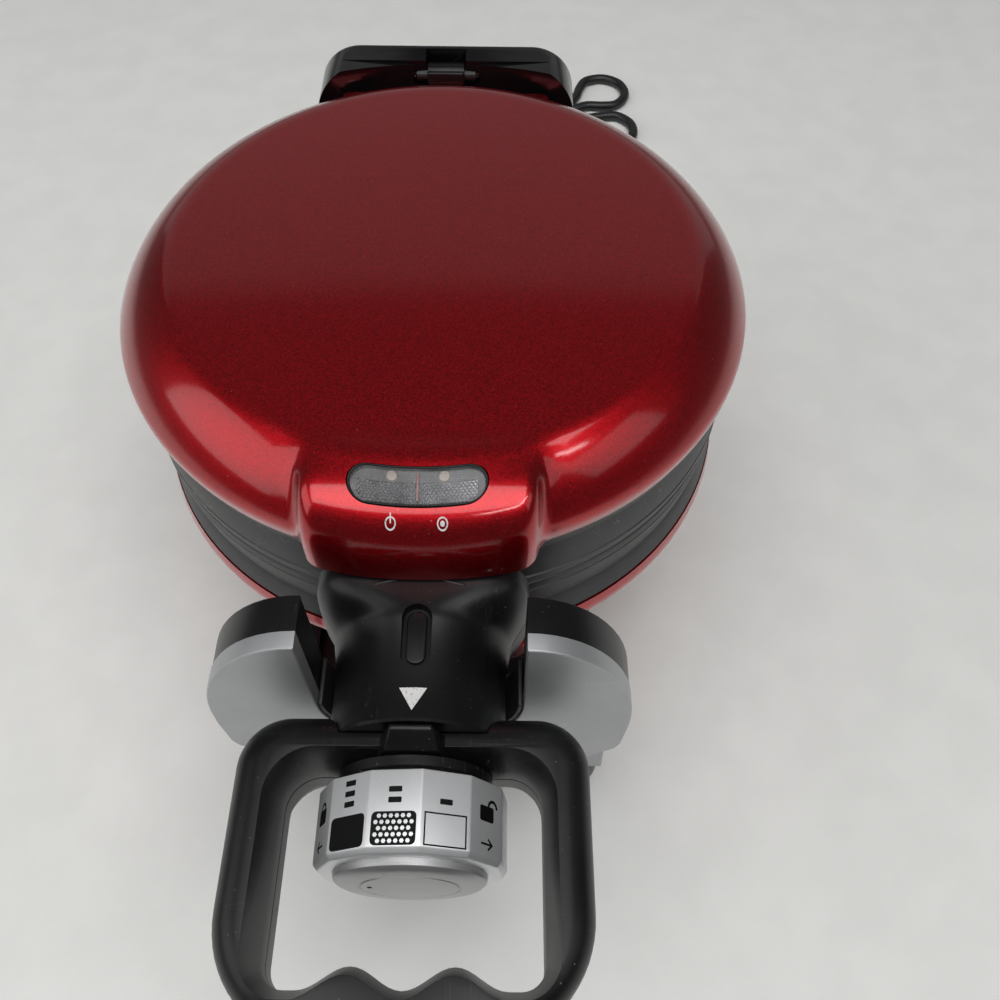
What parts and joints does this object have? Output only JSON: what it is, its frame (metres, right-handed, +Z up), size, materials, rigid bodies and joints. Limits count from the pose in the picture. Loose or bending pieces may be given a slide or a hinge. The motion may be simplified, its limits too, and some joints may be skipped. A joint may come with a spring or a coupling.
{
  "type": "flip waffle maker",
  "caption": "Round flip waffle maker with red domed lids, a loop handle, a browning and lock dial, a yoke stand with drip tray, and a folded cord.",
  "frame": {"origin": "on the surface the feet stand on, midway between the front of the handle and the back of the rear post", "axes": "+Z up, -Y towards the handle and the user, +X to the right as the user sees it"},
  "size_m": [0.246, 0.6726, 0.2028],
  "materials": {
    "candy_red": "metallic red under clear coat",
    "skirt_grey": "moulded, satin",
    "nonstick_coating": "cast, with non-stick coating",
    "bright_steel": "bright",
    "black_steel": "black oxide",
    "satin_black": "satin, lightly scratched",
    "gloss_black": "gloss",
    "satin_silver": "silver paint, satin",
    "cap_silver": "silver paint, satin",
    "clear_lens": "clear, prismatic",
    "lamp_amber": "translucent",
    "ceramic_white": "unglazed",
    "foot_rubber": "matt",
    "nylon_black": "satin",
    "cord_black": "smooth",
    "tie_white": "smooth",
    "plug_brass": "bright"
  },
  "bodies": {
    "stand": {"base_housing": "satin_black", "base_screw_1": "bright_steel", "base_screw_2": "bright_steel", "base_screw_3": "bright_steel", "base_screw_4": "bright_steel", "foot_1": "foot_rubber", "foot_2": "foot_rubber", "foot_3": "foot_rubber", "foot_4": "foot_rubber", "front_leg": "satin_silver", "front_post_back": "satin_black", "front_post_shell": "satin_silver", "saddle_liner": "nylon_black", "rear_post": "satin_black", "rear_post_cover": "satin_black", "pivot_bush": "nylon_black", "detent_spring": "bright_steel", "strain_relief": "cord_black", "power_cord": "cord_black", "cord_tie": "tie_white", "plug_body": "cord_black", "plug_blade_1": "plug_brass", "plug_blade_2": "plug_brass"},
    "drip_tray": {"drip_tray": "satin_black"},
    "detent_plunger": {"detent_plunger": "bright_steel"},
    "lower_half": {"lower_shell": "candy_red", "lower_skirt": "skirt_grey", "lower_waffle_plate": "nonstick_coating", "lower_heating_element": "bright_steel", "lower_reflector": "bright_steel", "lower_collar": "satin_black", "lower_handle": "satin_black", "hinge_housing": "gloss_black", "hinge_pin": "black_steel", "pivot_tube": "bright_steel", "retaining_ring": "bright_steel"},
    "lid": {"upper_shell": "candy_red", "upper_skirt": "skirt_grey", "upper_waffle_plate": "nonstick_coating", "upper_heating_element": "bright_steel", "upper_reflector": "bright_steel", "upper_collar": "satin_black", "upper_handle": "satin_black", "indicator_bezel": "satin_black", "indicator_lens": "clear_lens", "power_lamp": "lamp_amber", "ready_lamp": "lamp_amber", "collar_inlay": "satin_black", "dial_neck": "satin_black", "lid_hinge_bracket": "satin_black", "thermostat": "ceramic_white", "thermal_fuse": "bright_steel"},
    "dial": {"dial_knob": "satin_silver", "dial_cap": "cap_silver", "dial_shaft": "bright_steel", "lock_cam": "satin_black"}
  },
  "joints": [
    {"name": "head_flip", "type": "hinge", "parent": "stand", "child": "lower_half", "pos_m": [0, 0.043, 0.145], "axis": [0, -1, 0], "range_deg": [-180, 0]},
    {"name": "lid_open", "type": "hinge", "parent": "lower_half", "child": "lid", "pos_m": [0, 0.164, 0.1925], "axis": [-1, 0, 0], "range_deg": [0, 85]},
    {"name": "dial_turn", "type": "hinge", "parent": "lid", "child": "dial", "pos_m": [0, -0.1433, 0.145], "axis": [0, -1, 0], "range_deg": [-66.6, 53.4]},
    {"name": "drip_tray_slide", "type": "slide", "parent": "stand", "child": "drip_tray", "axis": [1, 0, 0], "range_m": [0, 0.12]},
    {"name": "detent_slide", "type": "slide", "parent": "stand", "child": "detent_plunger", "axis": [0, 1, 0], "range_m": [0, 0.001], "stiffness_N_per_m": 400}
  ]
}
